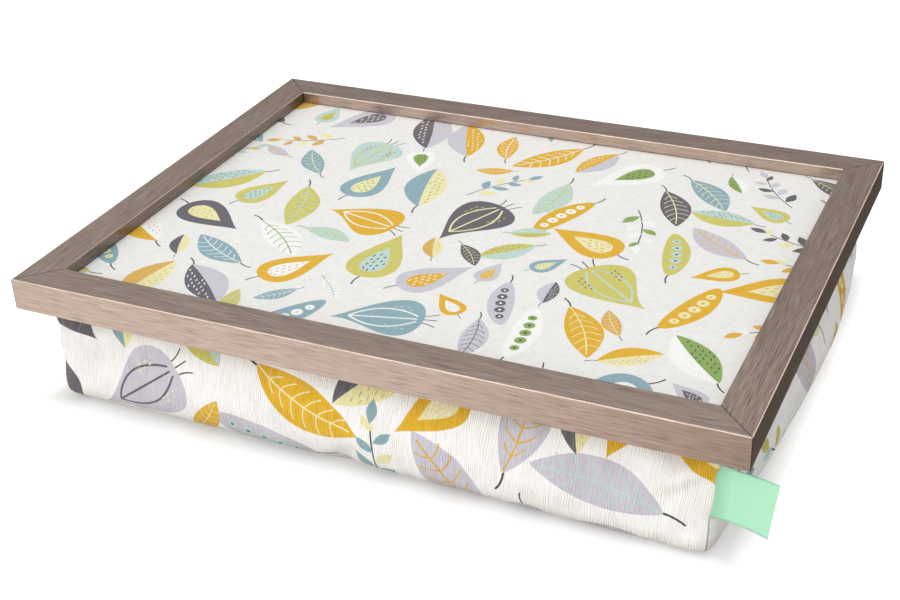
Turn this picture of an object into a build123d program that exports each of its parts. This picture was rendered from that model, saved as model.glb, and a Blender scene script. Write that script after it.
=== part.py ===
"""A lap tray on a bead cushion: a mitred picture-frame tray that lifts off its boxed cushion.

Millimetres, +Z up, +X along the tray, -Y towards the user. The origin is the middle of the
face that the cushion stands on.
"""

import os
from math import cos, radians, sin

from build123d import *

# Frame
FRAME_LENGTH = 440.0
FRAME_DEPTH = 332.0
RAIL_WIDTH = 22.0
RAIL_HEIGHT = 20.0
EDGE_ROUND = 0.8
LIP_WIDTH = 6.0
WELL_DEPTH = 8.0

# Board and its printed face, held up against the lip
SHEET_THICKNESS = 0.5
BOARD_THICKNESS = 3.0
BOARD_CLEARANCE = 0.5

# Steel that holds the tray together
NAIL_LEG = 5.0
NAIL_THICKNESS = 0.5
NAIL_HEIGHT = 10.0
NAIL_INSETS = (4.5, 10.0)
POINT_WIDTH = 8.0
POINT_LENGTH = 16.0
POINT_THICKNESS = 0.5
POINTS_ON_LONG_RAIL = 4
POINTS_ON_SHORT_RAIL = 3

# Hook-and-loop tape between the board and the cushion
TAPE_WIDTH = 25.0
TAPE_THICKNESS = 1.2
TAPE_INSET = 46.0
LONG_TAPE = 300.0
SHORT_TAPE = 160.0

# Cushion
CUSHION_HEIGHT = 64.0
CLOTH_THICKNESS = 1.0
FILLING_GAP = 0.3
FLAT_CUT = 0.5
NECK_FOOT = 63.5
# Each level of the cushion: height, corner x, corner y, and how far the front and back walls
# and then the end walls swell past the corners at mid-length
LEVELS = (
    (-FLAT_CUT, 195.6, 147.5, 3.0, 8.0),
    (3.0, 197.2, 151.2, 3.6, 9.4),
    (10.0, 198.4, 154.0, 4.2, 11.0),
    (24.0, 200.2, 155.2, 4.6, 12.4),
    (40.0, 201.6, 155.2, 4.6, 12.4),
    (53.0, 203.2, 153.8, 3.8, 10.2),
    (60.0, 203.6, 151.6, 2.2, 5.6),
    (NECK_FOOT, 203.2, 149.2, 0.4, 0.4),
)

# Woven label, folded over and sewn into the front right corner seam
LABEL_LENGTH = 27.5
LABEL_WIDTH = 31.8
LABEL_THICKNESS = 0.9
LABEL_DROOP = 8.0
LABEL_SEAM = (203.4, -155.9, 40.3)
LABEL_GAP = 0.6

# Levels that follow from the sizes above
FRAME_TOP = CUSHION_HEIGHT + RAIL_HEIGHT
SHEET_TOP = FRAME_TOP - WELL_DEPTH
BOARD_TOP = SHEET_TOP - SHEET_THICKNESS
BOARD_UNDERSIDE = BOARD_TOP - BOARD_THICKNESS
HOOK_UNDERSIDE = BOARD_UNDERSIDE - TAPE_THICKNESS
LOOP_UNDERSIDE = HOOK_UNDERSIDE - TAPE_THICKNESS
TOP_PANEL_UNDERSIDE = LOOP_UNDERSIDE - CLOTH_THICKNESS
REBATE_INSET = RAIL_WIDTH - LIP_WIDTH

# The four sides: where the middle of the outer face is, which way is inward, and the length
SIDES = {
    "front": (Vector(0, -FRAME_DEPTH / 2), Vector(0, 1), FRAME_LENGTH),
    "right": (Vector(FRAME_LENGTH / 2, 0), Vector(-1, 0), FRAME_DEPTH),
    "back": (Vector(0, FRAME_DEPTH / 2), Vector(0, -1), FRAME_LENGTH),
    "left": (Vector(-FRAME_LENGTH / 2, 0), Vector(1, 0), FRAME_DEPTH),
}
UP = Vector(0, 0, 1)

os.makedirs("parts", exist_ok=True)


def save(piece, name):
    """Write one finished piece under its own name."""
    piece.label = name
    export_step(piece, f"parts/{name}.step")


def cushion_form(inset, floor, top):
    """The cushion's swollen form, drawn in by inset, cut flat at floor, with its neck up to top."""
    with BuildPart() as form:
        for height, corner_x, corner_y, swell_y, swell_x in LEVELS:
            x, y = corner_x - inset, corner_y - inset
            with BuildSketch(Plane.XY.offset(height)) as outline:
                with BuildLine():
                    ThreePointArc((-x, -y), (0, -y - swell_y), (x, -y))
                    ThreePointArc((x, -y), (x + swell_x, 0), (x, y))
                    ThreePointArc((x, y), (0, y + swell_y), (-x, y))
                    ThreePointArc((-x, y), (-x - swell_x, 0), (-x, -y))
                make_face()
        loft()
        extrude(outline.sketch, amount=top - NECK_FOOT)
        split(bisect_by=Plane.XY.offset(floor), keep=Keep.TOP)
    return form.part


# V-nails: two in each corner, driven up from below across the mitre
with BuildPart() as v_nails:
    for side_x in (-1, 1):
        for side_y in (-1, 1):
            for inset in NAIL_INSETS:
                apex = Vector(
                    side_x * (FRAME_LENGTH / 2 - inset),
                    side_y * (FRAME_DEPTH / 2 - inset),
                    CUSHION_HEIGHT,
                )
                with BuildSketch(Plane(apex, x_dir=(-side_x, 0, 0), z_dir=UP)):
                    Rectangle(NAIL_LEG, NAIL_THICKNESS, align=(Align.MIN, Align.CENTER))
                    with Locations((0, side_x * side_y * NAIL_LEG / 2)):
                        Rectangle(NAIL_THICKNESS, NAIL_LEG)
                extrude(amount=NAIL_HEIGHT)
save(v_nails.part, "v_nails")

# Retaining points: flat steel tabs fired into the rebate under the board
with BuildPart() as retaining_points:
    for middle, inward, length in SIDES.values():
        along = inward.cross(UP)
        count = POINTS_ON_LONG_RAIL if length == FRAME_LENGTH else POINTS_ON_SHORT_RAIL
        pitch = (length - 2 * RAIL_WIDTH) / count
        seat = middle + inward * REBATE_INSET + UP * (BOARD_UNDERSIDE - POINT_THICKNESS)
        with BuildSketch(Plane(seat, x_dir=along, z_dir=UP)):
            with GridLocations(pitch, 0, count, 1):
                Rectangle(POINT_WIDTH, POINT_LENGTH)
        extrude(amount=POINT_THICKNESS)
save(retaining_points.part, "retaining_points")

# Frame rails: one section with a lip over the board and a rebate below it, mitred at both ends
for side, (middle, inward, length) in SIDES.items():
    along = inward.cross(UP)
    start = middle - along * (length / 2)
    end = middle + along * (length / 2)
    with BuildPart() as rail:
        with BuildSketch(Plane(start, x_dir=inward, z_dir=along)) as section:
            with BuildLine():
                Polyline(
                    (0, CUSHION_HEIGHT),
                    (REBATE_INSET, CUSHION_HEIGHT),
                    (REBATE_INSET, SHEET_TOP),
                    (RAIL_WIDTH, SHEET_TOP),
                    (RAIL_WIDTH, FRAME_TOP),
                    (0, FRAME_TOP),
                    close=True,
                )
            make_face()
            top_corners = section.vertices().group_by(Axis.Y)[-1]
            bottom_corners = section.vertices().group_by(Axis.Y)[0]
            fillet(top_corners + bottom_corners, radius=EDGE_ROUND)
        extrude(amount=length)
        split(bisect_by=Plane(start, z_dir=along - inward), keep=Keep.TOP)
        split(bisect_by=Plane(end, z_dir=-along - inward), keep=Keep.TOP)
        add(v_nails.part, mode=Mode.SUBTRACT)
        add(retaining_points.part, mode=Mode.SUBTRACT)
    save(rail.part, f"frame_rail_{side}")

# Board and printed sheet, cut to the rebate with a little room all round
board_length = FRAME_LENGTH - 2 * (REBATE_INSET + BOARD_CLEARANCE)
board_depth = FRAME_DEPTH - 2 * (REBATE_INSET + BOARD_CLEARANCE)
with BuildPart() as base_board:
    with BuildSketch(Plane.XY.offset(BOARD_UNDERSIDE)):
        Rectangle(board_length, board_depth)
    extrude(amount=BOARD_THICKNESS)
save(base_board.part, "base_board")

with BuildPart() as printed_sheet:
    with BuildSketch(Plane.XY.offset(BOARD_TOP)):
        Rectangle(board_length, board_depth)
    extrude(amount=SHEET_THICKNESS)
save(printed_sheet.part, "printed_sheet")

# Hook tape on the board and loop tape on the cushion, one strip of each along every side
for side, (middle, inward, length) in SIDES.items():
    centre = middle + inward * TAPE_INSET
    strip_length = LONG_TAPE if length == FRAME_LENGTH else SHORT_TAPE
    for tape, underside in (("hook", HOOK_UNDERSIDE), ("loop", LOOP_UNDERSIDE)):
        with BuildPart() as strip:
            with BuildSketch(Plane(centre + UP * underside, x_dir=inward.cross(UP), z_dir=UP)):
                RectangleRounded(strip_length, TAPE_WIDTH, radius=TAPE_THICKNESS)
            extrude(amount=TAPE_THICKNESS)
        save(strip.part, f"{tape}_strip_{side}")

# Cushion: the printed cover, the plain panel that closes it and the bead filling inside
outer_form = cushion_form(0, 0, LOOP_UNDERSIDE)
lining_form = cushion_form(CLOTH_THICKNESS, CLOTH_THICKNESS, LOOP_UNDERSIDE)
filling_form = cushion_form(CLOTH_THICKNESS + FILLING_GAP, CLOTH_THICKNESS, TOP_PANEL_UNDERSIDE)

with BuildPart() as cushion_cover:
    add(outer_form)
    add(lining_form, mode=Mode.SUBTRACT)
save(cushion_cover.part, "cushion_cover")

with BuildPart() as cushion_top_panel:
    add(lining_form)
    split(bisect_by=Plane.XY.offset(TOP_PANEL_UNDERSIDE), keep=Keep.TOP)
save(cushion_top_panel.part, "cushion_top_panel")

save(filling_form, "bead_filling")

# Label: its sewn edge follows the corner seam, and its free end droops
droop = radians(LABEL_DROOP)
label_run = Vector(cos(droop), 0, -sin(droop))
with BuildPart() as label_tab:
    with BuildSketch(Plane(LABEL_SEAM, x_dir=label_run, z_dir=(0, -1, 0))):
        with Locations((LABEL_GAP, 0)):
            Rectangle(LABEL_LENGTH, LABEL_WIDTH, align=(Align.MIN, Align.CENTER))
    extrude(amount=LABEL_THICKNESS / 2, both=True)
    fold_edges = label_tab.faces().sort_by(Axis.X)[-1].edges().filter_by(Axis.Y, reverse=True)
    fillet(fold_edges.sort_by(Edge.length)[-2:], radius=LABEL_THICKNESS * 0.4)
save(label_tab.part, "label_tab")
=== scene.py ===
"""Looks of the lap tray: foil-wrapped frame, printed surface, printed bead cushion and its label.

Metres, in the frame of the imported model: +X along the tray, -Y towards the user, +Z up, with
the cushion standing on z = 0.
"""

import math
import random

import bpy
import numpy as np
from mathutils import Color, Matrix, Vector
from mathutils.geometry import delaunay_2d_cdt
from mathutils.noise import noise as noise_value


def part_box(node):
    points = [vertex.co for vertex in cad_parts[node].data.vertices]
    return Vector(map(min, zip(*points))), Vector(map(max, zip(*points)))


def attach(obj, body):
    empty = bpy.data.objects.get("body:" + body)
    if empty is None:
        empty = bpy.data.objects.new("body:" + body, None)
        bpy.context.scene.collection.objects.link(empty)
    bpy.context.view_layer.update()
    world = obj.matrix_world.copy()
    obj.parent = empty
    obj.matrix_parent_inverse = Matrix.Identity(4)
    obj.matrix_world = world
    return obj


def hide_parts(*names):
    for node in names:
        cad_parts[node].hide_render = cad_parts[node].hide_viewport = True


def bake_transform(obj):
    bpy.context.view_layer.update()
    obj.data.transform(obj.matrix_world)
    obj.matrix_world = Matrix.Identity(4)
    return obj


MM = 0.001

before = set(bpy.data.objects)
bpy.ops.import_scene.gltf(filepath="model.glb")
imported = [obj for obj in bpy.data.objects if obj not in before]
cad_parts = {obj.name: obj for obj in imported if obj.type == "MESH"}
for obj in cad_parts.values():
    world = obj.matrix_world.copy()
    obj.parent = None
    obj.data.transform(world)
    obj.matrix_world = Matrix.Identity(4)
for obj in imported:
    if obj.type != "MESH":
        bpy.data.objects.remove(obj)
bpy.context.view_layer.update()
scene = bpy.context.scene

# Camera, from the photograph's perspective: place, view direction and lens
CAMERA_PLACE = (0.3465, -0.7549, 0.5045)
CAMERA_AZIMUTH = 25.65
CAMERA_ELEVATION = 29.96
CAMERA_ROLL = -2.50
CAMERA_LENS = 60.44

# Where the light seen in the frame's rounded edges comes from, and its strength
EDGE_LIGHTS = (((-0.375, -0.50, 0.78), 2.4), ((0.51, 0.78, 0.36), 2.4))

# The studio's light: from all round, more from low in front, less from low on the right, and
# how far from the cushion the floor's painted shadow, a dimmer glow close round it, fades
SKY_LIGHT = 0.72
FRONT_LIGHT = 1.45
RIGHT_SHADE = 0.56
PAINTED_SHADOW_REACH = 15 * MM

# How much painted shade darkens the end rails' faces towards the well, and the colour of the frame's
# dark lines: the mitre joints and the painted shadow at the foot of the well's walls
WELL_PAINTED_SHADE = 0.85
JOINT_AND_SHADOW_LINE = "2E2623"
WHITE = (1, 1, 1, 1)

# The cloth's ribs, and the printed motifs' length and gap on the tray and on the cushion
RIB_PITCH = 1.25 * MM
PANEL_MOTIF = 54 * MM
CLOTH_MOTIF = 72 * MM
PANEL_GAP = 3.0 * MM
CLOTH_GAP = 4.0 * MM
PANEL_SEED = 11
CLOTH_SEED = 57
# The scattering's rounds, as share of the full length and tries, and how far lengths vary
TOSS_STAGES = ((1.0, 7000), (0.74, 7000), (0.52, 8000))
MOTIF_LENGTHS = (0.90, 1.08)
# Five discs that cover a motif: the place along it, and the share of its half width
MOTIF_DISCS = np.array(((-0.62, 0.05), (-0.38, 0.6), (-0.13, 1.0), (0.12, 1.0), (0.36, 0.5)))

# The cushion's form: height, corner x, corner y, then how far the front and back walls and the
# end walls swell past the corners at mid-length
CUSHION_LEVELS = np.array((
    (0.0, 198.0, 151.4, 0.2, 5.5),
    (0.9, 200.2, 153.8, 0.4, 6.5),
    (3.0, 202.2, 156.4, 0.8, 7.8),
    (6.5, 203.0, 157.8, 1.4, 9.4),
    (12.0, 203.0, 158.0, 2.3, 11.4),
    (24.0, 203.2, 157.0, 3.6, 13.4),
    (40.0, 204.0, 155.8, 4.3, 13.5),
    (53.0, 203.6, 154.0, 3.6, 10.5),
    (60.0, 203.6, 151.6, 2.2, 5.6),
    (63.5, 203.2, 149.2, 0.4, 0.4),
    (69.9, 203.2, 149.2, 0.4, 0.4),
)) * MM

# Half sizes of its footprint, which the floor's painted shadow follows
CUSHION_FOOT = (208.0 * MM, 156.0 * MM)

# The cover's flat cut: half sizes of its base, the walls' height, hem and seam allowance, and a
# square that holds it all
PATTERN_HALF = (200.0 * MM, 152.0 * MM)
PATTERN_WALL = 74.0 * MM
HEM = 8.0 * MM
SEAM_ALLOWANCE = 3.0 * MM
PATTERN_SQUARE = 566.4 * MM
STITCH_PITCH = 3.2 * MM
STITCH_INSET = 2.2 * MM

# The cover's simulated grid, what holds it, how far it may move from its form, and how much
# of its broad movement, what is left after so many rounds of averaging, is taken off
COVER_CELLS = (64, 48, 16)
WALL_SHARES = np.linspace(0, 1, COVER_CELLS[2] + 1)
WALL_SHARES -= 0.11 * np.sin(2 * math.pi * WALL_SHARES)
CORNER_ROUND = 7.0 * MM
CORNER_PULL = 1.3 * MM
COVER_REFINED = 4
NECK_TOP = 69.9 * MM
NECK_HELD = 62.0 * MM
BASE_TWIST = math.radians(-1.0)
END_SKEW = 0.5
SWELL_LIMIT = 5.0 * MM
BROAD_ROUNDS = 60
BROAD_SHARE = 0.7
SETTLE_STEPS = 24
CLOTH_SETTINGS = {
    "quality": 6,
    "mass": 0.2,
    "tension_stiffness": 30,
    "compression_stiffness": 30,
    "shear_stiffness": 10,
    "bending_stiffness": 5,
    "shrink_min": -0.012,
    "use_pressure": True,
    "uniform_pressure_force": 15,
    "vertex_group_mass": "held",
}
CLOTH_GRAVITY = 0.15
FLOOR_GAP = 0.5 * MM
COVER_BASE_PITCH = 7.0 * MM
COVER_WALL_PITCH = 2.2 * MM
BEAD_DEPTH = 1.6 * MM
TOP_PANEL_LEVEL = 70.0 * MM

# The label: where it leaves the seam, its reach and tuck, the half gap inside its fold, how far
# the lower and the upper corner of its free end lean towards the user, over what length it
# bends, and over what length it follows the seam's line
LABEL_SEAM = np.array((203.4, -155.9, 40.3)) * MM
LABEL_DROOP = 6.0
LABEL_WIDTH = 31.8 * MM
LABEL_REACH = 28.0 * MM
LABEL_TUCK = 3.0 * MM
LABEL_FOLD = 0.28 * MM
LABEL_RIBBON = 0.28 * MM
LABEL_LEAN = (5.0 * MM, 2.0 * MM)
LABEL_EASE = 8 * MM

# Folds by each corner of the cushion: the ends' distances from the seam, their heights, the
# width and the rise, all in mm, and how many creases the walls have along the floor
CORNER_FOLDS = (
    ((17, 38), (58, 60), 8.0, -3.2),
    ((1, 32), (58, 36), 5.0, 1.8),
    ((2, 27), (47, 27), 4.5, -1.9),
    ((1, 24), (24, 7), 4.5, -1.2),
    ((50, 66), (62, 38), 6.0, 1.1),
)
FLOOR_CREASES = 40
FOLD_SEED = 5

# Inks of the print, as written colours
INK = {
    "coated": "F1F0EC",
    "cloth": "FCFBF8",
    "mustard": "E6B420",
    "ochre": "DDB256",
    "blue": "8FB0BA",
    "citron": "D3CC6A",
    "lilac": "CFCCD6",
    "charcoal": "68646B",
    "aqua": "C2DDD4",
    "white": "FAFAF8",
    "cream": "F2EBB4",
    "green": "8FAE5A",
    "line": "4A4648",
}
PANEL_INKS = [inks.split() for inks in (
    "mustard cream ochre",
    "blue white aqua",
    "lilac charcoal white",
    "citron aqua charcoal",
    "charcoal cream citron",
    "aqua citron charcoal",
    "white green line",
    "mustard white ochre",
    "lilac mustard white",
    "ochre cream mustard",
    "blue cream green",
)]
CLOTH_INKS = [inks.split() for inks in (
    "mustard cream white",
    "lilac mustard white",
    "charcoal cream citron",
    "lilac charcoal cream",
    "mustard cream ochre",
    "blue cream citron",
    "charcoal mustard white",
    "lilac aqua charcoal",
    "citron aqua charcoal",
)]

SIDES = ("front", "right", "back", "left")
CORNERS = ((-1, -1), (1, -1), (1, 1), (-1, 1))


def new_piece(name, points, faces, looks, smooth=True):
    """A mesh object from points and faces, with its looks."""
    mesh = bpy.data.meshes.new(name)
    mesh.from_pydata([tuple(p) for p in points], [], [tuple(f) for f in faces])
    mesh.validate()
    mesh.polygons.foreach_set("use_smooth", [smooth] * len(mesh.polygons))
    for look in looks:
        mesh.materials.append(look.material)
    piece = bpy.data.objects.new(name, mesh)
    scene.collection.objects.link(piece)
    return piece


def level_square(name, half, looks):
    """A square on the floor, of a given half size."""
    points = [(x * half, y * half, 0.0) for x, y in CORNERS]
    return new_piece(name, points, [(0, 1, 2, 3)], looks)


# Shader nodes


def colour(code):
    """A written colour as the linear values that a shader takes."""
    parts = [int(code[i:i + 2], 16) / 255 for i in (0, 2, 4)]
    return (*Color(parts).from_srgb_to_scene_linear(), 1.0)


class Level:
    """A shader node's output. The operators and abs() on it make maths nodes."""

    def __init__(self, socket):
        self.socket = socket

    def __add__(self, other):
        return calc("ADD", self, other)

    def __sub__(self, other):
        return calc("SUBTRACT", self, other)

    def __rsub__(self, other):
        return calc("SUBTRACT", other, self)

    def __mul__(self, other):
        return calc("MULTIPLY", self, other)

    def __abs__(self):
        return calc("ABSOLUTE", self)


def node(kind, inputs, output=0, tree=None, **settings):
    """One output of a new node. Its inputs are values, written colours, or levels in its tree."""
    levels = [value for value in inputs.values() if isinstance(value, Level)]
    tree = tree or levels[0].socket.id_data
    made = tree.nodes.new("ShaderNode" + kind)
    for key, value in settings.items():
        setattr(made, key, value)
    for key, value in inputs.items():
        if isinstance(value, Level):
            tree.links.new(value.socket, made.inputs[key])
        else:
            made.inputs[key].default_value = colour(value) if isinstance(value, str) else value
    return Level(made.outputs[output])


def calc(operation, *values):
    return node("Math", dict(enumerate(values)), operation=operation)


def mix(factor, a, b, blend="MIX"):
    """A colour between a and b."""
    return node("Mix", {0: factor, 6: a, 7: b}, 2, data_type="RGBA", blend_type=blend)


def spread(value, low, high, to_low=0.0, to_high=1.0):
    """Maps value from low..high to to_low..to_high, held at the ends."""
    return node("MapRange", {0: value, 1: low, 2: high, 3: to_low, 4: to_high})


def fade(value, low, high, most=1.0):
    """Falls from most to nothing as value goes from low to high."""
    return spread(value, low, high, most, 0.0)


def split(place):
    """The X, Y and Z of a place."""
    return [Level(socket) for socket in node("SeparateXYZ", {0: place}).socket.node.outputs]


def noise(place, stretch, detail=3.0, roughness=0.55):
    """Noise over place: features are about 1 / stretch metres long, on each axis or on all."""
    sizes = tuple(np.broadcast_to(stretch, 3))
    spot = node("VectorMath", {0: place, 1: sizes}, operation="MULTIPLY")
    return node("TexNoise", {0: spot, "Scale": 1.0, "Detail": detail, "Roughness": roughness})


def weave(place, fine, coarse, deep=1.0, detail=1.0):
    """A plain weave's threads, fine across themselves and coarse along themselves."""
    warp = noise(place, (fine, coarse, deep), detail)
    return warp * 0.5 + noise(place, (coarse, fine, deep), detail) * 0.5


def cells(place, grain):
    """How far a place is from the middle of its grain, for so many grains a metre."""
    return node("TexVoronoi", {"Vector": place, "Scale": grain}, "Distance")


def stitches(place, off_line):
    """Where a seam's stitches are: short dashes on a line, given how far off the line a spot is."""
    along_x, along_y, _ = split(place)
    beat = calc("FRACT", calc("DIVIDE", along_x + along_y, STITCH_PITCH))
    return fade(abs(beat - 0.5), 0.30, 0.40) * fade(abs(off_line), 0.2 * MM, 0.4 * MM)


class Look:
    """A material in the making. Its shader's plain sockets are set by name."""

    def __init__(self, name, **settings):
        self.material = bpy.data.materials.new(name)
        self.material.use_nodes = True
        self.tree = self.material.node_tree
        self.shader = self.tree.nodes["Principled BSDF"]
        for socket, value in settings.items():
            self.shader.inputs[socket.replace("_", " ")].default_value = value

    def place(self):
        return node("TexCoord", {}, "Object", self.tree)

    def pattern(self):
        return node("UVMap", {}, tree=self.tree, uv_map="pattern")

    def ink(self):
        return node("Attribute", {}, tree=self.tree, attribute_name="ink")

    def feed(self, socket, level):
        self.tree.links.new(level.socket, self.shader.inputs[socket])

    def bump(self, height, depth, strength):
        inputs = {"Height": height, "Distance": depth, "Strength": strength}
        self.feed("Normal", node("Bump", inputs))


# Print: outlines one unit long from x = 0 to x = 1


def lens(width, bend=0.0, fullness=1.0, steps=18):
    """A leaf with a point at both ends, its middle line bowed by bend."""
    t = np.linspace(0, 1, steps + 1)
    half = width / 2 * np.sin(math.pi * t) ** fullness
    middle = bend * 4 * t * (1 - t)
    upper = np.stack([t, middle + half], 1)
    lower = np.stack([t, middle - half], 1)[::-1]
    return np.concatenate([upper, lower[1:-1]])


def drop(width, sharpness, steps):
    """A drop, round at x = 0 and drawn to a point at x = 1."""
    a = np.linspace(0, 2 * math.pi, steps, endpoint=False)
    side = np.sin(a) * np.sin(a / 2) ** sharpness
    return np.stack([(1 + np.cos(a)) / 2, side / side.max() * width / 2], 1)


def oval(width, steps):
    a = np.linspace(0, 2 * math.pi, steps, endpoint=False)
    return np.stack([(1 + np.cos(a)) / 2, np.sin(a) * width / 2], 1)


def bow(start, end, sag, steps=6):
    """Points of a slightly bent line from start to end."""
    start, end = np.array(start, float), np.array(end, float)
    t = np.linspace(0, 1, steps)[:, None]
    across = np.array([start[1] - end[1], end[0] - start[0]])
    return start + (end - start) * t + across * sag * 4 * t * (1 - t)


def stroke(path, width):
    """The outline of a thin line along a path of points."""
    path = np.asarray(path, float)
    run = np.gradient(path, axis=0)
    run /= np.linalg.norm(run, axis=1)[:, None]
    side = np.stack([-run[:, 1], run[:, 0]], 1) * width / 2
    return np.concatenate([path + side, (path - side)[::-1]])


def put(outline, scale, turn, move, pivot=(0, 0)):
    """An outline turned about pivot, scaled and moved."""
    c, s = math.cos(turn), math.sin(turn)
    return (np.asarray(outline) - pivot) @ np.array([[c, s], [-s, c]]) * scale + move


def inside(outline, points, margin):
    """Which points lie inside an outline, at least margin from it."""
    a, b = outline, np.roll(outline, -1, axis=0)
    p = points[:, None]
    crosses = (a[:, 1] > p[..., 1]) != (b[:, 1] > p[..., 1])
    rise = np.where(b[:, 1] == a[:, 1], 1e-9, b[:, 1] - a[:, 1])
    left = p[..., 0] < (b[:, 0] - a[:, 0]) * (p[..., 1] - a[:, 1]) / rise + a[:, 0]
    hit = (crosses & left).sum(1) % 2 == 1
    along = b - a
    t = np.clip(((p - a) * along).sum(2) / (along**2).sum(1), 0, 1)
    far = np.linalg.norm(p - a - along * t[..., None], axis=2).min(1)
    return hit & (far > margin)


def flecks(outline, ink, pitch, length, width, turn, rng, margin=0.01):
    """Short printed dashes in staggered rows inside an outline, as printed shapes."""
    low, high = outline.min(0), outline.max(0)
    spots = []
    for row in range(int((high[1] - low[1]) / pitch) + 1):
        y = low[1] + (row + 0.5) * pitch
        x = low[0] + (0.25 + 0.5 * (row % 2)) * pitch * 1.5
        while x < high[0]:
            spots.append((x + rng.uniform(-0.15, 0.15) * pitch, y + rng.uniform(-0.12, 0.12) * pitch))
            x += pitch * 1.5
    spots = np.array(spots)
    kept = spots[inside(outline, spots, length * 0.35 + margin)]
    dash = oval(width / length, 8)
    turns = [turn + rng.uniform(-0.3, 0.3) for _ in kept]
    return [(put(dash, length, t, spot, (0.5, 0)), ink) for t, spot in zip(turns, kept)]


# Motifs: each gives its printed shapes, lowest first, as (outline, ink)


def stalk(end_y):
    return (stroke(bow((-0.17, end_y), (0.04, 0), 0.10), 0.018), "line")


def seed_leaf(inks, rng):
    """A broad drop-shaped leaf with a smaller drop of seeds in its middle."""
    body, heart, mark = inks
    inner = put(drop(0.50, 1.4, 28), 0.56, 0.0, (0.12, 0.0))
    shapes = [stalk(0.03), (drop(0.56, 1.7, 52), body), (inner, heart)]
    return shapes + flecks(inner, mark, 0.06, 0.052, 0.020, 0.0, rng)


def veined_leaf(inks, rng):
    """A long leaf with a midrib and side veins."""
    body, vein, _ = inks
    shapes = [stalk(-0.03), (lens(0.38, 0.06, 0.85, 30), body)]
    shapes.append((stroke(bow((0.02, 0), (0.93, 0), 0.06, 14), 0.014), vein))
    for k in range(6):
        x = 0.16 + 0.12 * k
        reach = 0.16 * math.sin(math.pi * x) ** 0.85
        y = 0.06 * 4 * x * (1 - x)
        for sign in (-1, 1):
            tip = (x + 0.09, y + sign * reach * 0.92)
            shapes.append((stroke(bow((x, y), tip, 0.08 * sign, 5), 0.011), vein))
    return shapes


def half_leaf(inks, rng):
    """A leaf with one half in a second ink, covered in dashes."""
    body, half, mark = inks
    whole = lens(0.48, 0.03, 0.8, 30)
    lower = np.concatenate([bow((0, 0), (1, 0), 0.03, 16), whole[31:]])
    shapes = [stalk(0.03), (whole, body), (lower, half)]
    return shapes + flecks(lower, mark, 0.06, 0.055, 0.016, -0.5, rng)


def pod(inks, rng):
    """A slim seed pod with a row of round seeds."""
    body, seed, mark = inks
    shapes = [stalk(0.02), (lens(0.31, -0.05, 0.55, 30), body)]
    for k in range(5):
        x = 0.20 + 0.15 * k
        size = 0.125 if k in (1, 2, 3) else 0.10
        centre = (x, -0.05 * 4 * x * (1 - x))
        shapes.append((put(oval(1.0, 18), size, 0, centre, (0.5, 0)), seed))
        shapes.append((put(oval(1.0, 10), size * 0.3, 0, centre, (0.5, 0)), mark))
    return shapes


def bulb(inks, rng):
    """A striped bulb with a curved tip and three roots."""
    body, stripe, mark = inks
    outline = drop(0.72, 2.0, 56)
    outline[:, 1] += 0.4 * np.clip(outline[:, 0] - 0.45, 0, 1) ** 2
    shapes = []
    for k in (-1, 0, 1):
        root = bow((0.03, 0.07 * k), (-0.14, 0.13 * k), 0.08 * k, 5)
        shapes.append((stroke(root, 0.014), "line"))
    shapes.append((outline, body))
    for k in (-1, 0, 1):
        rib = bow((0.07, 0.05 * k), (0.80, 0.05), 0.21 * k, 18)
        shapes.append((stroke(rib, 0.022), stripe))
    for k in (-1, 1):
        belly = put(oval(0.34, 16), 0.30, 0.0, (0.27, 0.185 * k), (0.5, 0))
        shapes += flecks(belly, mark, 0.05, 0.045, 0.016, 0.0, rng, -0.01)
    return shapes


def sprig(inks, rng):
    """A thin stem with small leaves on alternate sides."""
    body, other, _ = inks
    shapes = [(stroke(bow((-0.05, 0), (0.86, 0), 0.06, 14), 0.014), "line")]
    for k in range(7):
        x = 0.12 + 0.11 * k
        y = 0.22 * x * (1 - x)
        sign = 1 if k % 2 else -1
        leaf = put(lens(0.46, 0.05 * sign), 0.27 - 0.016 * k, sign * 0.85, (x, y))
        shapes.append((leaf, body if k % 3 else other))
    shapes.append((put(lens(0.46), 0.22, 0.0, (0.84, 0.0)), body))
    return shapes


# Every motif with its half width. Only the leaves, the first three, are also printed small.
MOTIFS = (
    (seed_leaf, 0.27), (veined_leaf, 0.20), (half_leaf, 0.23),
    (bulb, 0.33), (pod, 0.18), (sprig, 0.22),
)
LEAVES = MOTIFS[:3]


def toss(reach, size, gap, ink_sets, seed):
    """Motifs scattered at all turns, as far out as reach, none nearer to the next than gap."""
    rng = random.Random(seed)
    placed = np.zeros((0, 3))
    shapes = []
    count = 0
    for share in np.repeat(*zip(*TOSS_STAGES)):
        scale = size * rng.uniform(*MOTIF_LENGTHS) * share
        turn = rng.uniform(0, 2 * math.pi)
        spot = np.array([rng.uniform(-half, half) for half in reach])
        kinds = MOTIFS if share == 1.0 else LEAVES
        motif, half_width = kinds[count % len(kinds)]
        middles = put(MOTIF_DISCS * (1, 0), scale, turn, spot)
        discs = np.column_stack([middles, MOTIF_DISCS[:, 1] * half_width * scale])
        apart = np.linalg.norm(placed[:, None, :2] - discs[:, :2], axis=2)
        if np.any(apart - placed[:, None, 2] - discs[:, 2] < gap):
            continue
        placed = np.concatenate([placed, discs])
        for outline, ink in motif(ink_sets[count % len(ink_sets)], rng):
            shapes.append((put(outline, scale, turn, spot, (0.42, 0)), ink))
        count += 1
    return shapes


def signed_area(outline):
    """Positive for an outline that runs counter-clockwise."""
    x, y = np.asarray(outline).T
    return (x @ np.roll(y, -1) - y @ np.roll(x, -1)) / 2


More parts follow.
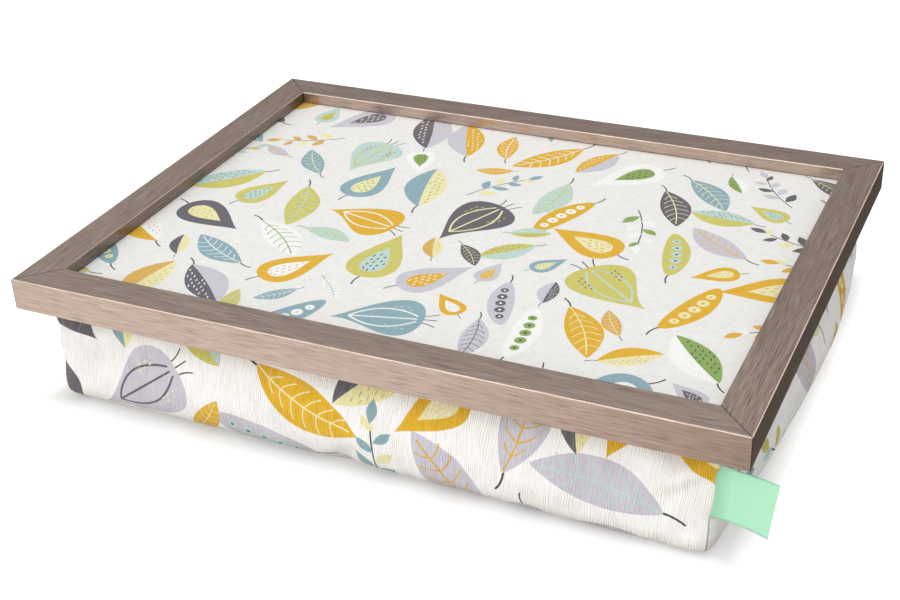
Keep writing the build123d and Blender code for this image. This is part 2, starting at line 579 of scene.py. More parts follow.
def print_cloth(regions, shapes, pitch, ground):
    """Cuts convex flat regions along the shapes printed on them, the lowest shape first.

    pitch is the spacing of extra points in each region, and ground the ink between the shapes.
    Gives the points, the triangles and their inks.
    """
    points, faces = [], []
    for outline in [*regions, *(s[0] for s in shapes)]:
        faces.append(list(range(len(points), len(points) + len(outline))))
        points += [Vector(p) for p in (outline if signed_area(outline) > 0 else outline[::-1])]
    for region, step in zip(regions, pitch):
        low, high = region.min(0), region.max(0)
        counts = np.maximum(np.round((high - low) / step).astype(int), 1)
        for x in np.linspace(low[0], high[0], counts[0] + 1):
            for y in np.linspace(low[1], high[1], counts[1] + 1):
                points.append(Vector((x, y)))
    made = delaunay_2d_cdt(points, [], faces, 0, 1e-7, True)
    flat = np.array([tuple(p) for p in made[0]])
    triangles, inks = [], []
    for corners, sources in zip(made[2], made[5]):
        top = max(sources, default=-1)
        if any(s < len(regions) for s in sources):
            triangles.append(corners)
            inks.append(shapes[top - len(regions)][1] if top >= len(regions) else ground)
    used, triangles = np.unique(np.array(triangles), return_inverse=True)
    return flat[used], triangles.reshape(-1, 3), inks


def paint_faces(piece, inks):
    """Stores each triangle's ink as a colour on its corners."""
    layer = piece.data.color_attributes.new("ink", "FLOAT_COLOR", "CORNER")
    values = np.repeat([colour(INK[ink]) for ink in inks], 3, axis=0)
    layer.data.foreach_set("color", values.astype(np.float32).ravel())


# Materials


def foil(name, along):
    """Brushed champagne foil on a rail that runs along X (0) or Y (1)."""
    look = Look(name, Metallic=0.88, Roughness=0.36)
    place = look.place()
    *sides, z = split(place)

    def streaks(length, width, detail):
        stretch = [1 / width] * 3
        stretch[along] = 1 / length
        return noise(place, stretch, detail)

    fine, broad = streaks(18 * MM, 0.36 * MM, 1.0), streaks(70 * MM, 1.6 * MM, 1.0)
    both = fine * 0.75 + broad * 0.25
    tone = spread(both, 0.34, 0.66)
    scratched = spread(streaks(13 * MM, 0.36 * MM, 0.0), 0.52, 0.74, 0.0, 0.42)
    brushed = mix(scratched, mix(tone, "AC978B", "CEB9AC"), "6E5C54")
    insets = [half - abs(side) for half, side in zip(FRAME_HALF, sides)]
    joint = spread(abs(insets[0] - insets[1]), 0.15 * MM, 0.45 * MM)
    across = 1 - along
    edge = WELL_HALF[across]
    in_well = fade(abs(sides[across]), edge + 0.1 * MM, edge + 0.3 * MM)
    # Painted shade: the end rails' faces towards the well get darker foil tones
    if along:
        brushed = mix(in_well * WELL_PAINTED_SHADE, brushed, mix(tone, "574D46", "7B6F66"))
    # Painted shadow: a dark line at the foot of the well's walls, where they meet the print
    foot = fade(z, SHEET_TOP + 0.2 * MM, SHEET_TOP + 0.7 * MM, 0.8)
    brushed = mix(in_well * foot, brushed, JOINT_AND_SHADOW_LINE)
    look.feed("Base Color", mix(joint, JOINT_AND_SHADOW_LINE, brushed))
    look.feed("Roughness", spread(both, 0.3, 0.7, 0.30, 0.42))
    look.bump(both * joint, 0.05 * MM, 0.7)
    return look


def surface_print():
    """The tray's printed surface: a smooth coated print with a faint linen look."""
    look = Look("surface_print", Roughness=0.38, Coat_Weight=0.15, Coat_Roughness=0.25)
    place = look.place()
    grain = weave(place, 1700.0, 260.0)
    shade = spread(noise(place, 220.0, 4.0, 0.7) + grain, 0.72, 1.28, 0.885, 1.0)
    look.feed("Base Color", mix(1.0, look.ink(), shade, "MULTIPLY"))
    look.bump(grain, 0.03 * MM, 0.5)
    return look


def cover_cloth():
    """Printed slub cotton: wavering ribs up the front wall, darker at its seams, with painted shade
    in the rib troughs, the gathers under the frame and the foot.
    """
    look = Look("cover_cloth", Roughness=0.88, Sheen_Weight=0.1)
    pattern = look.pattern()
    sides = split(pattern)
    beyond = [abs(side) - half for side, half in zip(sides, PATTERN_HALF)]
    up = calc("MAXIMUM", *beyond)
    from_seam = abs(calc("MINIMUM", *beyond))

    waver = noise(pattern, (120.0, 34.0, 1.0), 2.0) * 22.0
    ribs = spread(calc("SINE", sides[0] * (2 * math.pi / RIB_PITCH) + waver), -1.0, 1.0)
    yarn = noise(pattern, (1500.0, 60.0, 1.0), 2.0, 0.6)
    weft = noise(pattern, (120.0, 1500.0, 1.0), 2.0, 0.5)
    patchy = spread(noise(pattern, (60.0, 40.0, 1.0), 2.0), 0.35, 0.65, 0.25, 0.62)
    height = mix(0.15, mix(patchy, yarn, ribs), weft)

    worn = mix(spread(yarn, 0.56, 0.74, 0.0, 0.20), look.ink(), "F6F3EE")
    # Painted shade: darker, warmer cloth and deeper rib troughs where it runs under the frame and
    # where it turns under at the floor
    painted_shade = spread(up, 52 * MM, 67 * MM) + fade(up, 2 * MM, 13 * MM)
    raised = height - painted_shade * 0.16
    # Painted shade: the ribs' troughs are darker
    tint = mix(spread(raised, 0.18, 0.46), "D8CFC2", WHITE)
    tint = mix(painted_shade * 0.42, tint, "CFC4B3")
    tint = mix(fade(from_seam, 0.2 * MM, 0.9 * MM, 0.72), tint, "6F675C")
    off_hem_line = up - (PATTERN_WALL + HEM - STITCH_INSET)
    tint = mix(stitches(pattern, off_hem_line), tint, "B5AA98")
    look.feed("Base Color", mix(1.0, worn, tint, "MULTIPLY"))
    look.bump(height, 0.5 * MM, 0.7)
    return look


def ribbon():
    """Mint ribbon of a fine plain weave, with painted shade where it runs into its seam."""
    look = Look("label_ribbon", Roughness=0.62, Sheen_Weight=0.2)
    pattern = look.pattern()
    threads = weave(pattern, 4200.0, 420.0)
    woven = mix(spread(threads, 0.35, 0.65), "ACECC4", "BCF6D2")
    fold = LABEL_REACH + LABEL_TUCK
    # Painted shade: darker near both ends, where the ribbon runs into the seam
    painted_seam_shade = spread(abs(split(pattern)[0] - fold), fold - 9 * MM, fold - 3 * MM, 0.0, 0.45)
    look.feed("Base Color", mix(painted_seam_shade, woven, "6FA583"))
    look.bump(threads, 0.12 * MM, 0.6)
    return look


def fibreboard():
    look = Look("fibreboard", Roughness=0.78)
    place = look.place()
    fibre = noise(place, (900.0, 240.0, 700.0), 5.0, 0.7)
    tone = spread(fibre + noise(place, 35.0), 0.75, 1.3)
    look.feed("Base Color", mix(tone, "8A6B4B", "B5946C"))
    look.bump(fibre, 0.12 * MM, 0.5)
    return look


def fastener_steel():
    look = Look("fastener_steel", Metallic=1.0, Roughness=0.35)
    rub = noise(look.place(), (600.0, 2200.0, 600.0))
    look.feed("Base Color", mix(spread(rub, 0.35, 0.65), "8E8E90", "C4C4C6"))
    look.feed("Roughness", spread(rub, 0.3, 0.7, 0.25, 0.5))
    return look


def inside_strips(place):
    """How far inside the edge of the nearest loop strip a place is."""
    depths = []
    for strip in ("loop_strip_front", "loop_strip_right"):
        low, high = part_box(strip)
        middle, half = (low + high) / 2, (high - low) / 2
        sides = zip(split(place)[:2], middle, half)
        insets = [reach - abs(abs(side) - abs(centre)) for side, centre, reach in sides]
        depths.append(calc("MINIMUM", *insets))
    return calc("MAXIMUM", *depths)


def tape(name, dark, light, grain, depth, sewn=False):
    """Hook or loop tape: a dense pile of the given grain per metre."""
    look = Look(name, Roughness=0.85, Sheen_Weight=0.3)
    place = look.place()
    height = cells(place, grain) * 0.6 + noise(place, grain * 2, 4.0, 0.7) * 0.6
    pile = mix(spread(height, 0.3, 0.9), dark, light)
    if sewn:
        dashes = stitches(place, inside_strips(place) - STITCH_INSET)
        pile = mix(dashes, pile, "9A968C")
        height = height - dashes
    look.feed("Base Color", pile)
    look.bump(height, depth, 0.8)
    return look


def calico():
    look = Look("calico", Roughness=0.9, Sheen_Weight=0.15)
    threads = weave(look.place(), 2400.0, 180.0, 300.0, 2.0)
    look.feed("Base Color", mix(spread(threads, 0.35, 0.65), "CFC6B2", "E6DFCD"))
    look.bump(threads, 0.2 * MM, 0.7)
    return look


def beads():
    look = Look("polystyrene_beads", Roughness=0.55)
    off_middle = cells(look.place(), 320.0)
    # Painted shade: each bead darker towards its rim, in the crevices between beads
    look.feed("Base Color", mix(spread(off_middle, 0.35, 0.62), "F6F6F4", "C9C9C6"))
    look.bump(fade(off_middle, 0.0, 0.7), 1.2 * MM, 0.9)
    return look


# Frame

FRAME_HALF = (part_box("frame_rail_right")[1].x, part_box("frame_rail_back")[1].y)
RAIL_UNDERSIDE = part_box("frame_rail_front")[0].z
WELL_HALF = (-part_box("frame_rail_left")[1].x, -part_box("frame_rail_front")[1].y)
SHEET_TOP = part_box("printed_sheet")[1].z

foils = (foil("foil_along_x", 0), foil("foil_along_y", 1))
steel = fastener_steel()
hook_tape = tape("hook_tape", "B9B8B2", "EAE9E4", 1400.0, 0.5 * MM)
loop_tape = tape("loop_tape", "D2D0C8", "F4F3EE", 900.0, 0.6 * MM, sewn=True)
finishes = {"v_nails": steel, "retaining_points": steel, "base_board": fibreboard()}
for k, side in enumerate(SIDES):
    finishes[f"frame_rail_{side}"] = foils[k % 2]
    finishes[f"hook_strip_{side}"] = hook_tape
    finishes[f"loop_strip_{side}"] = loop_tape
for name, finish in finishes.items():
    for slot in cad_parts[name].material_slots:
        slot.material = finish.material


# Printed surface


def printed_surface():
    """The sheet on the board, cut along its printed shapes, with its edge and underside."""
    low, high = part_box("printed_sheet")
    rectangle = np.array(CORNERS) * high[:2]
    reach = rectangle[2] + PANEL_MOTIF * 0.4
    shapes = toss(reach, PANEL_MOTIF, PANEL_GAP, PANEL_INKS, PANEL_SEED)
    flat, triangles, inks = print_cloth([rectangle], shapes, [60 * MM], "coated")
    count = len(flat)
    heights = np.repeat([high.z, low.z], [count + 4, 4])
    points = np.column_stack([np.concatenate([flat, rectangle, rectangle]), heights])
    rim = [(0, 4, 5), (0, 5, 1), (1, 5, 6), (1, 6, 2), (2, 6, 7), (2, 7, 3), (3, 7, 4), (3, 4, 0)]
    under = [(4, 7, 6), (4, 6, 5)]
    faces = np.concatenate([triangles, np.array(rim + under) + count])
    piece = new_piece("printed_surface", points, faces, [surface_print()], smooth=False)
    paint_faces(piece, inks + ["coated"] * len(rim + under))
    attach(piece, "tray")
    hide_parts("printed_sheet")


printed_surface()


# Cushion


def side_axes(side):
    """A wall's direction along the tray's rim, its outward direction, and its half sizes."""
    k = SIDES.index(side)
    along = np.array([(1, 0), (0, 1), (-1, 0), (0, -1)][k], float)
    outward = along[::-1] * (1, -1)
    half = PATTERN_HALF if k % 2 == 0 else PATTERN_HALF[::-1]
    return along, outward, *half


def twisted(points):
    """Points turned about Z, most at the floor and not at all at the neck."""
    turn = BASE_TWIST * np.clip(1 - points[..., 2] / NECK_HELD, 0, 1)
    c, s = np.cos(turn), np.sin(turn)
    x, y, z = np.moveaxis(points, -1, 0)
    return np.stack([c * x - s * y, s * x + c * y, z], -1)


def wall_form(side, s, height):
    """The swollen form's surface: s runs from -1 to 1 along a wall, at a height above the floor."""
    along, outward, _, _ = side_axes(side)
    columns = (1, 2, 3) if side in ("front", "back") else (2, 1, 4)
    reach, depth, swell = (
        np.interp(height, CUSHION_LEVELS[:, 0], CUSHION_LEVELS[:, k]) for k in columns
    )
    run = s * reach
    out = depth + swell * (1 - s**2) * (1 + END_SKEW * s * outward[0])
    near_seam = np.clip(1 - (reach - np.abs(run)) / CORNER_ROUND, 0, 1) ** 2
    pull = CORNER_PULL * near_seam * np.clip((NECK_HELD - height) / (20 * MM), 0, 1)
    run, out = run - np.sign(run) * pull, out - pull
    flat = run[..., None] * along + out[..., None] * outward
    return twisted(np.concatenate([flat, np.broadcast_to(height, run.shape)[..., None]], -1))


def spanned(front, right, back, left):
    """A grid between four rows of points that follow each other round it."""
    back, left = back[::-1], left[::-1]
    u = np.linspace(0, 1, len(front))[None, :, None]
    v = np.linspace(0, 1, len(right))[:, None, None]
    between_rows = front * (1 - v) + back * v
    between_columns = left[:, None] * (1 - u) + right[:, None] * u
    first = front[0] * (1 - u) + front[-1] * u
    last = back[0] * (1 - u) + back[-1] * u
    return between_rows + between_columns - first * (1 - v) - last * v


def cover_grids():
    """The cover's form as five grids of points: the four walls and the base."""
    across, deep, _ = COVER_CELLS
    grids = {}
    for side in SIDES:
        count = across if side in ("front", "back") else deep
        s, height = np.meshgrid(np.linspace(-1, 1, count + 1), NECK_TOP * WALL_SHARES)
        grids[side] = wall_form(side, s, height)
    grids["base"] = spanned(*(grids[side][0] for side in SIDES))
    return grids


def squares(ids):
    """The four-cornered faces of a grid of point numbers."""
    return np.stack([ids[:-1, :-1], ids[:-1, 1:], ids[1:, 1:], ids[1:, :-1]], -1).reshape(-1, 4)


def weld(grids):
    """Numbers the points of the grids, with one number where two grids meet, and joins them."""
    numbers, spots, faces = {}, {}, []
    for name, grid in grids.items():
        keys = np.round(grid / (0.01 * MM)).astype(int)
        ids = np.array([[spots.setdefault(tuple(key), len(spots)) for key in row] for row in keys])
        numbers[name] = ids
        faces.append(squares(ids)[:, :: -1 if name == "base" else 1])
    points = np.zeros((len(spots), grid.shape[2]))
    for name, grid in grids.items():
        points[numbers[name]] = grid
    return points, np.concatenate(faces), numbers


def settle(points, faces):
    """How far each point moves when pressure fills the cover and it is let down on the floor."""
    cover = new_piece("cover_form", points, faces, [])
    held = cover.vertex_groups.new(name="held")
    held.add([i for i, p in enumerate(points) if p[2] > NECK_HELD], 1.0, "REPLACE")
    cloth = cover.modifiers.new("cloth", "CLOTH")
    for setting, value in CLOTH_SETTINGS.items():
        setattr(cloth.settings, setting, value)
    cloth.settings.effector_weights.gravity = CLOTH_GRAVITY
    ground = level_square("ground", 1.0, [])
    ground.modifiers.new("hit", "COLLISION")
    ground.collision.thickness_outer = FLOOR_GAP
    cloth.collision_settings.distance_min = FLOOR_GAP
    for step in range(1, SETTLE_STEPS + 1):
        scene.frame_set(step)
    shown = cover.evaluated_get(bpy.context.evaluated_depsgraph_get())
    settled = np.zeros(len(points) * 3)
    shown.data.vertices.foreach_get("co", settled)
    scene.frame_set(1)
    bpy.data.objects.remove(cover)
    bpy.data.objects.remove(ground)
    return settled.reshape(-1, 3) - points


def smoothed(values, faces, rounds):
    """Values on welded points, averaged with their neighbours round after round."""
    pairs = np.concatenate([faces[:, [k, (k + 1) % 4]] for k in range(4)])
    pairs = np.unique(np.sort(pairs, axis=1), axis=0)
    count = np.bincount(pairs.ravel(), minlength=len(values))[:, None]
    for _ in range(rounds):
        total = np.zeros_like(values)
        np.add.at(total, pairs[:, 0], values[pairs[:, 1]])
        np.add.at(total, pairs[:, 1], values[pairs[:, 0]])
        values = (values + total / count) / 2
    return values


def refined(grid):
    """A grid with its cells divided, its new points on smooth curves through the old ones."""
    for axis in (0, 1):
        grid = np.moveaxis(grid, axis, 0)
        before, after = 2 * grid[:1] - grid[1:2], 2 * grid[-1:] - grid[-2:-1]
        padded = np.concatenate([before, grid, after])
        place = np.arange((len(grid) - 1) * COVER_REFINED + 1) / COVER_REFINED
        cell = np.minimum(place.astype(int), len(grid) - 2)
        t = (place - cell)[:, None, None]
        a, b, c, d = (padded[cell + k] for k in range(4))
        curve = 2 * b + (c - a) * t + (2 * a - 5 * b + 4 * c - d) * t**2
        grid = (curve + (3 * b - 3 * c + d - a) * t**3) / 2
        grid = np.moveaxis(grid, 0, axis)
    return grid


def point_normals(points, faces):
    """Unit normals of welded points."""
    across = points[faces[:, 2]] - points[faces[:, 0]]
    over = points[faces[:, 3]] - points[faces[:, 1]]
    face_normals = np.cross(across, over)
    normals = np.zeros_like(points)
    for k in range(4):
        np.add.at(normals, faces[:, k], face_normals)
    return normals / np.linalg.norm(normals, axis=1)[:, None]


def fold_rise(points, start, end, width, rise):
    """The rise of one fold, a rounded ridge or hollow along a line."""
    start, end = np.array(start), np.array(end)
    along = end - start
    t = np.clip((points - start) @ along / (along @ along), 0, 1)
    far = np.linalg.norm(points - start - along * t[:, None], axis=1)
    return rise * np.exp(-((far / width) ** 2)) * (0.4 + 0.6 * np.sin(math.pi * (t * 0.9 + 0.05)))


def waves(points, lengths, shift=0.0):
    """Smooth noise between about -1 and 1, of the given wavelength on each axis in mm."""
    places = points / (np.array(lengths) * MM) + shift
    return np.array([noise_value(tuple(p)) for p in places])


def cloth_relief(points):
    """Gathers under the frame, folds by the corners, creases at the floor and soft unevenness."""
    rng = random.Random(FOLD_SEED)
    rise = np.zeros(len(points))
    wall = np.flatnonzero(points[:, 2] > 0.3 * MM)
    on_wall = points[wall]
    near_neck = np.exp(-np.abs(NECK_HELD - on_wall[:, 2]) / (8 * MM))
    gathers = waves(on_wall, (6, 6, 40)) + waves(on_wall, (14, 14, 60), 9)
    rise[wall] += 0.75 * MM * near_neck * gathers
    middle = np.sin(math.pi * np.clip(on_wall[:, 2] / NECK_HELD, 0, 1))
    rise[wall] += 0.8 * MM * middle * waves(on_wall, (45, 45, 30), 20)
    rise[wall] += 0.15 * MM * waves(on_wall, (9, 9, 22), 31)
    for side in SIDES:
        _, _, half_length, _ = side_axes(side)
        for sign in (-1, 1):
            size = 1.6 if (side, sign) == ("front", 1) else rng.uniform(0.5, 1.1)
            for distances, heights, width, fold in CORNER_FOLDS:
                s = sign * (1 - np.array(distances) * MM / half_length)
                ends = wall_form(side, s, np.array(heights) * MM)
                rise[wall] += fold_rise(on_wall, *ends, width * MM, fold * size * MM)
    for _ in range(FLOOR_CREASES):
        side = rng.choice(SIDES)
        s, lean = rng.uniform(-0.9, 0.9), rng.uniform(-0.02, 0.02)
        low = wall_form(side, np.array([s]), np.array([0.0]))[0]
        high = wall_form(side, np.array([s + lean]), np.array([rng.uniform(6, 13) * MM]))[0]
        rise[wall] += fold_rise(on_wall, low, high, rng.uniform(1.5, 3.5) * MM, -0.9 * MM)
    return rise


def kept_clear(points, form_height):
    """Points held off the floor and the rails: the walls stay below them, the neck between them."""
    flat, z = points[:, :2], points[:, 2]
    below_rails = RAIL_UNDERSIDE - 0.6 * MM
    in_neck = form_height > below_rails
    reach = CUSHION_LEVELS[-1][1:3] + 0.4 * MM
    flat = np.where(in_neck[:, None], np.clip(flat, -reach, reach), flat)
    return np.column_stack([flat, np.clip(z, 0.0, np.where(in_neck, NECK_TOP, below_rails))])


def cushion_surface():
    """The settled cover as fine welded points, their normals and the five grids of numbers."""
    form, faces, numbers = weld(cover_grids())
    points = form
    moved = settle(form, faces)
    broad = smoothed(moved, faces, BROAD_ROUNDS)
    moved = smoothed(moved, faces, 1) - BROAD_SHARE * broad
    far = np.linalg.norm(moved, axis=1)[:, None]
    points = form + moved * np.minimum(1, SWELL_LIMIT / np.maximum(far, 1e-9))
    tracked = np.concatenate([points, form[:, 2:]], axis=1)
    fine, fine_faces, fine_numbers = weld({k: refined(tracked[ids]) for k, ids in numbers.items()})
    fine, form_height = fine[:, :3], fine[:, 3]
    normals = point_normals(fine, fine_faces)
    fine = kept_clear(fine + normals * cloth_relief(fine)[:, None], form_height)
    return fine, point_normals(fine, fine_faces), fine_numbers


def looked_up(values, ids, row, column):
    """Values of a welded grid between its points."""
    r = np.clip(row.astype(int), 0, ids.shape[0] - 2)
    c = np.clip(column.astype(int), 0, ids.shape[1] - 2)
    v, u = (row - r)[:, None], (column - c)[:, None]
    low = values[ids[r, c]] * (1 - u) + values[ids[r, c + 1]] * u
    high = values[ids[r + 1, c]] * (1 - u) + values[ids[r + 1, c + 1]] * u
    return low * (1 - v) + high * v


def onto_cushion(flat, surface):
    """Where flat points of the cover's cut lie on the cushion, and their normals."""
    points, normals, numbers = surface
    both = np.concatenate([points, normals], 1)
    laid = np.zeros((len(flat), 6))
    on_base = (np.abs(flat) <= PATTERN_HALF).all(1)
    last = np.array(numbers["base"].shape) - 1
    row, column = ((flat[on_base] / PATTERN_HALF + 1) / 2)[:, ::-1].T * last[:, None]
    laid[on_base] = looked_up(both, numbers["base"], row, column)
    for side in SIDES:
        along, outward, half_length, half_depth = side_axes(side)
        run, out = flat @ along, flat @ outward - half_depth
        own = (out > 0) & (out > np.abs(run) - half_length) & ~on_base
        run, out = run[own], out[own]
        ids = numbers[side]
        row = np.interp(out / PATTERN_WALL, WALL_SHARES, np.arange(len(WALL_SHARES)))
        column = (np.clip(run / half_length, -1, 1) + 1) / 2 * (ids.shape[1] - 1)
        found = looked_up(both, ids, row * COVER_REFINED, column)
        here, toward = found[:, :3], found[:, 3:]
        past_seam = (np.abs(run) - half_length)[:, None]
        near_seam = np.exp(-((past_seam / (1.3 * MM)) ** 2))
        inward = -np.sign(run)[:, None] * along - outward
        here[:, :2] += inward * (np.maximum(past_seam, 0) + 0.6 * MM * near_seam) / math.sqrt(2)
        hem = np.maximum(out - PATTERN_WALL, 0)[:, None]
        here[:, :2] -= hem * outward + (run / half_length)[:, None] * along * hem
        rolled = np.clip(hem / (1.5 * MM), 0, 1)
        here[:, 2:] += 0.35 * MM * np.sin(rolled * math.pi / 2)
        toward = toward * (1 - rolled) + rolled * (0, 0, 1)
        laid[own] = np.concatenate([here, toward], 1)
    facing = laid[:, 3:]
    return laid[:, :3], facing / np.linalg.norm(facing, axis=1)[:, None]


def cover_regions():
    """The flat cut: the base, the walls with their hems, and the allowances beyond the seams."""
    regions = [np.array(CORNERS) * PATTERN_HALF]
    for side in SIDES:
        along, outward, half_length, half_depth = side_axes(side)
        top = PATTERN_WALL + HEM
        wall = [(-half_length, 0), (-half_length, top), (half_length, top), (half_length, 0)]
        inner, outer = (0, 0.5 * MM), (SEAM_ALLOWANCE, SEAM_ALLOWANCE + 0.5 * MM)
        strip = [inner, (0, PATTERN_WALL), (SEAM_ALLOWANCE, PATTERN_WALL), outer]
        outlines = [wall]
        for sign in (-1, 1):
            outlines.append([(sign * (half_length + a), b) for a, b in strip])
        for outline in outlines:
            flat = [run * along + (half_depth + out) * outward for run, out in outline]
            regions.append(np.array(flat))
    return regions


def add_uvs(mesh, name, spots):
    """A UV layer with one spot for each point of a mesh."""
    corners = np.zeros(len(mesh.loops), int)
    mesh.loops.foreach_get("vertex_index", corners)
    mesh.uv_layers.new(name=name).data.foreach_set("uv", spots[corners].ravel())


def printed_cover(surface):
    """The cushion's cover, printed in the flat and then laid over the settled cushion."""
    regions = cover_regions()
    steps = [COVER_BASE_PITCH] + [COVER_WALL_PITCH] * (len(regions) - 1)
    reach = np.array(PATTERN_HALF) + PATTERN_WALL
    shapes = toss(reach, CLOTH_MOTIF, CLOTH_GAP, CLOTH_INKS, CLOTH_SEED)
    flat, triangles, inks = print_cloth(regions, shapes, steps, "cloth")
    place, facing = onto_cushion(flat, surface)
    piece = new_piece("printed_cover", place, triangles[:, ::-1], [cover_cloth()])
    paint_faces(piece, inks)
    add_uvs(piece.data, "pattern", flat)
    add_uvs(piece.data, "OFBake", flat / PATTERN_SQUARE + 0.5)
    piece.data.normals_split_custom_set_from_vertices(facing)
    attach(piece, "cushion")
    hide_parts("cushion_cover")


def bead_fill(surface):
    """The beads as one soft block, close under the cover and the top panel."""
    points, normals, numbers = surface
    inner = points - normals * BEAD_DEPTH
    inner[:, 2] = np.clip(inner[:, 2], 1.0 * MM, TOP_PANEL_LEVEL - 1.2 * MM)
    step = COVER_REFINED
    coarse = {k: inner[ids[::step, ::step]] for k, ids in numbers.items()}
    coarse["lid"] = spanned(*(coarse[side][-1] for side in SIDES))
    spots, faces, _ = weld(coarse)
    piece = new_piece("bead_fill", spots, faces, [beads()])
    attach(piece, "cushion")
    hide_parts("bead_filling")


def thickened(grid, thickness):
    """Points and faces of a closed sheet of some thickness, with a grid as its middle."""
    rows, columns = grid.shape[:2]
    facing = np.cross(np.gradient(grid, axis=0), np.gradient(grid, axis=1))
    facing *= thickness / 2 / np.linalg.norm(facing, axis=2)[..., None]
    points = np.concatenate([grid + facing, grid - facing]).reshape(-1, 3)
    ids = np.arange(rows * columns).reshape(rows, columns)
    upper = squares(ids)[:, (0, 3, 2, 1)]
    rim = np.concatenate([ids[0], ids[1:, -1], ids[-1, -2::-1], ids[-2:0:-1, 0]])
    ahead = np.roll(rim, -1)
    edge = np.stack([rim, ahead, ahead + rows * columns, rim + rows * columns], 1)
    return points, np.concatenate([upper, upper[:, ::-1] + rows * columns, edge])


def smooth_step(x):
    """Rises smoothly from 0 to 1 as x does."""
    x = np.clip(x, 0, 1)
    return x * x * (3 - 2 * x)


def label(surface):
    """The ribbon, folded in two, its ends held in the front right corner seam."""
    seam = surface[0][surface[2]["front"][:, -1]]
    droop = math.radians(LABEL_DROOP)
    run = np.array([math.cos(droop), 0, -math.sin(droop)])
    width_way = np.array([math.sin(droop), 0, math.cos(droop)])
    fold_start = LABEL_REACH - LABEL_FOLD
    straight = np.linspace(-LABEL_TUCK, fold_start, 26)
    turn = np.linspace(0, math.pi, 9)[1:-1]
    along = np.concatenate([straight, fold_start + LABEL_FOLD * np.sin(turn), straight[::-1]])
    aside = np.concatenate([straight * 0 + 1, np.cos(turn), straight * 0 - 1]) * LABEL_FOLD
    across = np.linspace(-0.5, 0.5, 19) * LABEL_WIDTH
    share = (across / LABEL_WIDTH)[:, None]
    edge = LABEL_SEAM + across[:, None] * width_way
    held = np.stack([np.interp(edge[:, 2], seam[:, 2], axis) for axis in seam.T], 1)
    reach = along[:, None, None]
    free = np.clip(reach / LABEL_REACH, 0, 1)
    eased = smooth_step(reach / LABEL_EASE)
    curl = 0.5 * MM * np.sin(free * 3.0) + 0.7 * MM * (free * share * 2) ** 2
    lean = np.interp(share, (-0.5, 0.5), LABEL_LEAN) * free**1.5
    grid = held * (1 - eased) + edge * eased + np.maximum(reach, 0) * run
    # The tucked ends run into the seam
    grid += np.minimum(reach, 0) * np.array([0.7, -0.7, 0])
    grid[..., 1:2] -= aside[:, None, None] + lean - curl
    piece = new_piece("label_ribbon", *thickened(grid, LABEL_RIBBON), [ribbon()])
    path = np.concatenate([[0], np.cumsum(np.hypot(np.diff(along), np.diff(aside)))])
    spots = np.stack(np.meshgrid(path, across, indexing="ij"), -1).reshape(-1, 2)
    add_uvs(piece.data, "pattern", np.tile(spots, (2, 1)))
    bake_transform(piece)
    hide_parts("label_tab")


def top_panel():
    """The plain cloth under the tray, tight under the tapes and a little puffed between them."""
    reach_x, reach_y = CUSHION_LEVELS[-1][1:3] - 0.7 * MM
    x, y = np.meshgrid(np.linspace(-reach_x, reach_x, 121), np.linspace(-reach_y, reach_y, 91))
    from_edge = np.minimum(reach_x - np.abs(x), reach_y - np.abs(y))
    from_held = from_edge - HEM
    for side in SIDES:
        low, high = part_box(f"loop_strip_{side}")
        gap = np.hypot(x - np.clip(x, low.x, high.x), y - np.clip(y, low.y, high.y))
        from_held = np.minimum(from_held, gap)
    free = smooth_step(from_held / (25 * MM))
    points = np.stack([x, y, np.zeros_like(x)], -1).reshape(-1, 3)
    wrinkle = waves(points, (30, 30, 1000)).reshape(x.shape)
    z = TOP_PANEL_LEVEL + free * (0.8 * MM + 0.5 * MM * wrinkle)
    z -= 0.2 * MM * np.clip(1 - from_edge / HEM, 0, 1)
    points[:, 2] = z.ravel()
    faces = squares(np.arange(x.size).reshape(x.shape))
    piece = new_piece("top_panel", points, faces, [calico()])
    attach(piece, "cushion")
    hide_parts("cushion_top_panel")


surface = cushion_surface()
printed_cover(surface)
bead_fill(surface)
top_panel()
label(surface)


# Camera, light and floor


def place_camera():
    data = bpy.data.cameras.new("camera")
    data.lens = CAMERA_LENS
    data.clip_start = 0.01
    camera = bpy.data.objects.new("camera", data)
    turns = (CAMERA_AZIMUTH, "Z"), (90 - CAMERA_ELEVATION, "X"), (CAMERA_ROLL, "Z")
    camera.matrix_world = Matrix.Translation(CAMERA_PLACE)
    for angle, axis in turns:
        camera.matrix_world @= Matrix.Rotation(math.radians(angle), 4, axis)
    scene.collection.objects.link(camera)
    scene.camera = camera


def seen_rays(tree):
    """What the camera sees directly or through glass, and what it sees in gloss."""
    kinds = ("Camera", "Transmission", "Glossy")
    direct, through, glossy = (node("LightPath", {}, f"Is {kind} Ray", tree) for kind in kinds)
    return calc("MAXIMUM", direct, through), glossy


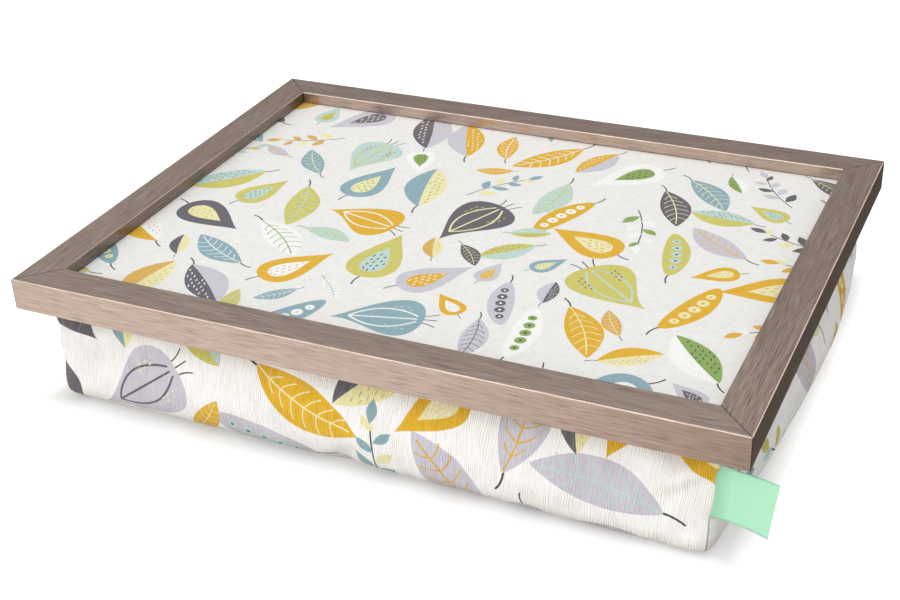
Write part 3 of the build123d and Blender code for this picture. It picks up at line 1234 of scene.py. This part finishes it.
def studio_world():
    """White behind the object, and soft light that is stronger from the front and the left."""
    world = bpy.data.worlds.new("studio")
    scene.world = world
    world.use_nodes = True
    tree = world.node_tree
    seen, glossy = seen_rays(tree)
    direction = node("TexCoord", {}, "Generated", tree)
    to_right, to_back, to_top = split(direction)
    low = fade(to_top, 0.15, 0.75)
    light = fade(to_back, -0.8, 0.0) * low * FRONT_LIGHT + SKY_LIGHT
    light -= spread(to_right, 0.0, 0.7) * low * RIGHT_SHADE
    front_gloss = spread(to_back, -0.5, 0.5, 1.0, 0.31)
    left_gloss = spread(to_right, 0.2, 0.7, 1.0, 0.25)
    gloss = front_gloss * left_gloss * spread(to_right, -0.65, -0.45, 1.5, 0.9)
    for middle, strength in EDGE_LIGHTS:
        toward = node("VectorMath", {0: direction, 1: middle}, "Value", operation="DOT_PRODUCT")
        gloss += spread(toward, 0.90, 0.98, 0.0, strength)
    shown = mix(seen, mix(glossy, light, gloss), WHITE)
    tree.links.new(shown.socket, tree.nodes["Background"].inputs["Color"])


def area_light(name, place, size, power):
    """A soft lamp that points at the cushion."""
    data = bpy.data.lights.new(name, "AREA")
    data.shape = "RECTANGLE"
    data.size, data.size_y = size
    data.energy = power
    lamp = bpy.data.objects.new(name, data)
    lamp.location = place
    aim = Vector((0, 0, 0.04)) - Vector(place)
    lamp.rotation_euler = aim.to_track_quat("-Z", "Y").to_euler()
    scene.collection.objects.link(lamp)


def studio_floor():
    """A pale floor, white to the camera outside the shadow, with a painted shadow round the cushion,
    and a painted reflection in gloss, dimmer and warmer to the right.
    """
    look = Look("floor", Roughness=1.0, Specular_IOR_Level=0.0)
    seen, glossy = seen_rays(look.tree)
    x, y, _ = split(look.place())
    # Painted reflection: in gloss the floor glows, dimmer to the right and darkest beside the
    # cushion's right end
    beside = spread(x, 0.16, 0.25, 0.0, 0.9)
    shaded = 1.0 - beside * spread(y, -0.30, -0.14)
    in_gloss = spread(x, -0.05, 0.30, 1.25, 0.45) * shaded * glossy
    pale = mix(seen, (0.65, 0.65, 0.65, 1), (0.60, 0.60, 0.60, 1))
    look.feed("Base Color", mix(glossy, pale, (0, 0, 0, 1)))
    # Painted reflection: warmer in gloss to the right
    warm = spread(x, 0.0, 0.3) * glossy
    look.feed("Emission Color", mix(warm, WHITE, (1, 0.86, 0.72, 1)))
    # Painted shadow: to the camera the floor glows less close round the cushion, and more on the
    # right, which lightens the real shadow there
    gaps = [abs(side) - half for side, half in zip((x, y), CUSHION_FOOT)]
    clear = spread(calc("MAXIMUM", *gaps), 0.0, PAINTED_SHADOW_REACH)
    painted_glow_right = spread(x, 0.12, 0.26)
    glow_with_painted_shadow = spread(clear, 0.0, 1.0, painted_glow_right * 0.12 + 0.30, painted_glow_right * 0.20 + 0.62)
    look.feed("Emission Strength", seen * glow_with_painted_shadow + in_gloss)
    level_square("studio_floor", 6.0, [look])


place_camera()
studio_world()
area_light("key", (-0.55, -0.80, 1.45), (1.1, 0.9), 3)
area_light("top", (-0.25, 0.45, 1.7), (1.0, 1.0), 8)
studio_floor()

scene.view_settings.view_transform = "Standard"
